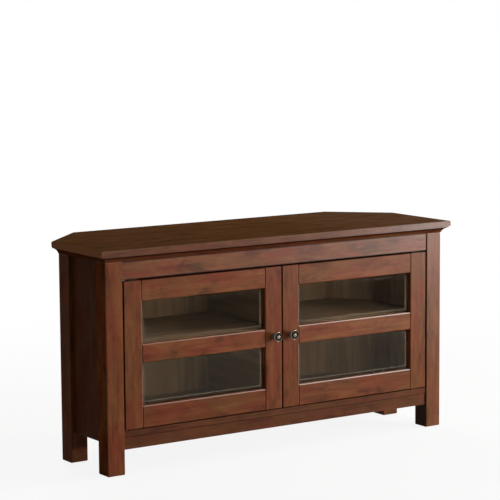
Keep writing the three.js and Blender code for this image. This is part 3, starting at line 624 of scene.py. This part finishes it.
def screwHead(mesh, place, facing, radius, height):
    head = bmesh.new()
    bmesh.ops.create_grid(head, x_segments=3, y_segments=3, size=radius * screws["cross"])
    corners = [f for f in head.faces if min(abs(v) for v in f.calc_center_median()[:2]) > radius * 0.3]
    bmesh.ops.delete(head, geom=corners, context="FACES")  # a cross is left
    bmesh.ops.subdivide_edges(head, edges=[e for e in head.edges if e.is_boundary], cuts=1)
    crossEdges = [e for e in head.edges if e.is_boundary]
    crossFaces = list(head.faces)
    segments = screws["segments"]
    rim = bmesh.ops.create_circle(head, cap_ends=False, segments=segments, radius=radius * screws["flat"])
    bmesh.ops.rotate(head, verts=rim["verts"], matrix=Matrix.Rotation(pi / segments, 3, "Z"))
    rimVerts = set(rim["verts"])
    edges = [e for e in head.edges if rimVerts.issuperset(e.verts)]
    bmesh.ops.bridge_loops(head, edges=crossEdges + edges)
    for grow, drop in screws["shoulder"]:
        ring = bmesh.ops.extrude_edge_only(head, edges=edges)
        moved = [v for v in ring["geom"] if isinstance(v, bmesh.types.BMVert)]
        edges = [e for e in ring["geom"] if isinstance(e, bmesh.types.BMEdge)]
        bmesh.ops.scale(head, verts=moved, vec=(grow, grow, 1))
        bmesh.ops.translate(head, verts=moved, vec=(0, 0, -height * drop))
    bmesh.ops.contextual_create(head, geom=edges)
    pocket = bmesh.ops.extrude_face_region(head, geom=crossFaces)
    sunk = [v for v in pocket["geom"] if isinstance(v, bmesh.types.BMVert)]
    bmesh.ops.delete(head, geom=crossFaces, context="FACES_KEEP_BOUNDARY")
    bmesh.ops.translate(head, verts=sunk, vec=(0, 0, -height * screws["recess"]))
    bmesh.ops.translate(head, verts=head.verts, vec=(0, 0, height))
    bmesh.ops.recalc_face_normals(head, faces=head.faces)
    turned = Vector(facing).to_track_quat("Z", "Y").to_matrix().to_4x4()
    bmesh.ops.transform(head, verts=head.verts, matrix=Matrix.Translation(place) @ turned)
    join(mesh, head)


def addScrews(name, body, material, kind, places):
    mesh = bmesh.new()
    for place, facing in places:
        screwHead(mesh, place, facing, screws[kind]["radius"], screws[kind]["height"])
    smoothSides(newPiece(name, mesh, material, body))


def leafPlaces(spots, lower, upper, facing):  # facing of the lower leaf, up or down; the upper one's is opposite
    return [((x, y, z), (0, 0, up)) for z, up in ((lower, facing), (upper, -facing)) for x, y in spots]


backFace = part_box("back_panel")[1].y
toBack = (0, 1, 0)
places = [((x, backFace, screws["back"]["row"]), toBack) for x in screws["back"]["across"]]
places += [((0, backFace, z), toBack) for z in screws["back"]["heights"]]
addScrews("back_panel_screws", "cabinet", bronze, "back", places)
for side, way in zip(sides, (-1, 1)):
    frameLow, doorLow = (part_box(side + "_lower_hinge_" + name + "_leaf") for name in ("frame", "door"))
    frameHigh, doorHigh = (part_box(side + "_upper_hinge_" + name + "_leaf") for name in ("frame", "door"))
    pinY = (doorLow[0].y + doorLow[1].y) / 2
    spots = [(way * x, pinY) for x in screws["leaf"]["across"]]
    plate = screws["leaf"]["thickness"]
    addScrews(side + "_frame_leaf_screws", "cabinet", bronze, "leaf",
              leafPlaces(spots, frameLow[0].z + plate, frameHigh[1].z - plate, 1))
    addScrews(side + "_door_leaf_screws", side + "_door", bronze, "leaf",
              leafPlaces(spots, doorLow[0].z, doorHigh[1].z, -1))
    addScrews(side + "_knob_screw", side + "_door", zinc, "knob",
              [((way * knobAcross, doorBack, knobHeight), toBack)])
print("screws driven")


# Door bumpers

bumpers = {
    "x": 0.0052,
    "heights": (0.150, 0.400),
    "radius": 0.0030,
    "height": 0.0018,
    "outline": ((0, 0), (1, 0), (0.96, 0.45), (0.75, 0.85), (0.4, 1), (0, 1)),  # shares of radius and height
    "steps": 20,
}
for side, way in zip(sides, (-1, 1)):
    mesh = bmesh.new()
    for z in bumpers["heights"]:
        dome = bmesh.new()
        turn(dome, [(bumpers["radius"] * r, bumpers["height"] * h) for r, h in bumpers["outline"]], bumpers["steps"])
        bmesh.ops.rotate(dome, verts=dome.verts, matrix=Matrix.Rotation(-pi / 2, 3, "X"))
        bmesh.ops.translate(dome, verts=dome.verts, vec=(way * bumpers["x"], doorBack, z))
        join(mesh, dome)
    smoothSides(newPiece(side + "_door_bumpers", mesh, rubber, side + "_door"), 60)
print("bumpers stuck on")


# Dust strip

dustStrip = {  # felt under the top rail's back edge, behind the doors
    "across": 0.449,
    "behindDoors": 0.0004,
    "thickness": 0.0018,
    "hangs": 0.0065,
    "rounding": 0.0008,
    "cuts": 120,
    "waves": ((0.00025, 210, 0.0), (0.00015, 530, 1.0)),  # height, pace and start
    "felt": ((0.006, 0.005, 0.004), (0.020, 0.015, 0.012)),
    "specular": 0.05,
    "sheen": 0.04,
    "fluffScale": 900.0,
    "fluffDepth": 0.0003,
    "cloudScale": 60.0,
    "roughness": (0.85, 1.0),
}


def makeFelt():
    material, tree, shader = newMaterial("felt")
    fluff = noise(tree, objectPlace(tree), dustStrip["fluffScale"], 4.0, 0.7, 0.8)
    cloud = noise(tree, objectPlace(tree), dustStrip["cloudScale"], 3.0, 0.6)
    mixed = calc(tree, "ADD", times(tree, fluff, 0.7), times(tree, cloud, 0.3))
    colour = blendColours(tree, spread(tree, mixed, (0.35, 0.65)), *dustStrip["felt"])
    tree.links.new(colour, shader.inputs["Base Color"])
    tree.links.new(spread(tree, fluff, (0.3, 0.7), dustStrip["roughness"]), shader.inputs["Roughness"])
    shader.inputs["Specular IOR Level"].default_value = dustStrip["specular"]
    shader.inputs["Sheen Weight"].default_value = dustStrip["sheen"]
    addBump(tree, shader, fluff, dustStrip["fluffDepth"], 0.8)
    return material


def longEdges(mesh):
    return [e for e in mesh.edges if abs(e.verts[0].co.x - e.verts[1].co.x) > 0.1]


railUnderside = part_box("top_front_rail")[0].z
mesh = bmesh.new()
bmesh.ops.create_cube(mesh, size=1.0)
bmesh.ops.scale(mesh, verts=mesh.verts, vec=(2 * dustStrip["across"], dustStrip["thickness"], dustStrip["hangs"]))
lower = [e for e in longEdges(mesh) if all(v.co.z < 0 for v in e.verts)]
bmesh.ops.bevel(mesh, geom=lower, offset=dustStrip["rounding"], offset_type="OFFSET", affect="EDGES", segments=4,
                profile=0.5, material=-1)
bmesh.ops.subdivide_edges(mesh, edges=longEdges(mesh), cuts=dustStrip["cuts"], use_grid_fill=True)
for v in mesh.verts:  # felt never hangs quite even
    if v.co.z < 0:
        v.co.z += sum(height * sin(v.co.x * pace + start) for height, pace, start in dustStrip["waves"])
behind = doorBack + dustStrip["behindDoors"] + dustStrip["thickness"] / 2
bmesh.ops.translate(mesh, verts=mesh.verts, vec=(0, behind, railUnderside - dustStrip["hangs"] / 2))
bmesh.ops.recalc_face_normals(mesh, faces=mesh.faces)
smoothSides(newPiece("dust_strip", mesh, makeFelt(), "cabinet"), 50)
print("dust strip glued in")


# Studio

studio = {
    "floorRadius": 14.0,
    "floorSegments": 96,
    "speckScale": 90.0,
    "floorDrop": 0.0002,  # so that nothing shares its plane
    "floorColours": ((0.62, 0.61, 0.59), (0.68, 0.67, 0.65)),
    "floorRoughness": 0.85,
    "floorSpecular": 0.1,
    "floorWhite": (0.88, 1.0),  # share of plain white that the camera sees, near and far
    "floorFade": (0.9, 2.6),
    "ambient": (0.14, 0.135, 0.13),
    "aim": (0, 0, 0.3),  # what the lamps are turned to
    "lamps": [  # azimuth right of the front, height angle, distance, size, watts
        ("key", 46, 22, 3.3, (1.4, 1.4), 34),
        ("fill", 3, 12, 3.8, (1.4, 1.4), 42),
        ("sheen", 47, 1.5, 3.4, (0.9, 0.15), 92),
        ("rim", 75, 45.5, 4.4, (0.9, 0.9), 70),
        ("back", 170, 35, 3.8, (2.0, 2.0), 90),
    ],
}


def whiteRays(tree):  # the camera, metal and glass see a white background
    path = addNode(tree, "LightPath").outputs
    seen = calc(tree, "MAXIMUM", path["Is Camera Ray"], path["Is Glossy Ray"])
    return calc(tree, "MAXIMUM", seen, path["Is Transmission Ray"])


def makeFloor():
    mesh = bmesh.new()
    bmesh.ops.create_circle(mesh, cap_ends=True, segments=studio["floorSegments"],
                            radius=studio["floorRadius"])
    bmesh.ops.translate(mesh, verts=mesh.verts, vec=(0, 0, -studio["floorDrop"]))
    data = bpy.data.meshes.new("floor")
    mesh.to_mesh(data)
    mesh.free()
    floor = bpy.data.objects.new("floor", data)
    scene.collection.objects.link(floor)
    material, tree, shader = newMaterial("pale_floor")
    place = objectPlace(tree)
    specks = noise(tree, place, studio["speckScale"], 3.0, 0.6)
    tree.links.new(blendColours(tree, specks, *studio["floorColours"]), shader.inputs["Base Color"])
    shader.inputs["Roughness"].default_value = studio["floorRoughness"]
    shader.inputs["Specular IOR Level"].default_value = studio["floorSpecular"]
    distance = addNode(tree, "VectorMath", {0: place}, operation="LENGTH").outputs["Value"]
    share = spread(tree, distance, studio["floorFade"], studio["floorWhite"])
    seen = times(tree, share, whiteRays(tree))
    plain = addNode(tree, "Emission", {"Color": (1, 1, 1, 1), "Strength": 1.0})
    mixed = addNode(tree, "MixShader", {0: seen, 1: shader.outputs[0], 2: plain.outputs[0]})
    tree.links.new(mixed.outputs[0], tree.nodes["Material Output"].inputs["Surface"])
    data.materials.append(material)


def makeWorld():
    world = bpy.data.worlds.new("studio")
    scene.world = world
    world.use_nodes = True
    tree = world.node_tree
    soft = tree.nodes["Background"]
    soft.inputs["Color"].default_value = (*studio["ambient"], 1)
    white = addNode(tree, "Background", {"Color": (1, 1, 1, 1), "Strength": 1.0})
    mixed = addNode(tree, "MixShader", {0: whiteRays(tree), 1: soft.outputs[0], 2: white.outputs[0]})
    tree.links.new(mixed.outputs[0], tree.nodes["World Output"].inputs["Surface"])


def addLamp(name, azimuth, height, distance, size, watts):
    lamp = bpy.data.lights.new(name, "AREA")
    lamp.shape, lamp.energy = "RECTANGLE", watts
    lamp.size, lamp.size_y = size
    holder = bpy.data.objects.new(name, lamp)
    scene.collection.objects.link(holder)
    a, e = radians(azimuth), radians(height)
    away = Vector((sin(a) * cos(e), -cos(a) * cos(e), sin(e)))
    holder.location = Vector(studio["aim"]) + away * distance
    holder.rotation_euler = away.to_track_quat("Z", "Y").to_euler()


makeFloor()
makeWorld()
for lamp in studio["lamps"]:
    addLamp(*lamp)
print("studio lit")


# Camera

view = {
    "place": (-3.0670, -4.6176, 1.2449),
    "yaw": 0.5891,  # radians, towards +X
    "pitch": 0.1292,  # downwards
    "roll": -0.0071,
    "lens": 147.77,  # mm
    "sensor": 36.0,  # mm
    "farthest": 60.0,
}
lens = bpy.data.cameras.new("camera")
lens.lens, lens.sensor_width, lens.clip_end = view["lens"], view["sensor"], view["farthest"]
camera = bpy.data.objects.new("camera", lens)
scene.collection.objects.link(camera)
camera.location = view["place"]
camera.rotation_mode = "QUATERNION"
camera.rotation_quaternion = (Quaternion((0, 0, 1), -view["yaw"]) @ Quaternion((1, 0, 0), pi / 2 - view["pitch"])
                              @ Quaternion((0, 0, 1), view["roll"]))
scene.camera = camera
scene.view_settings.view_transform = "Standard"
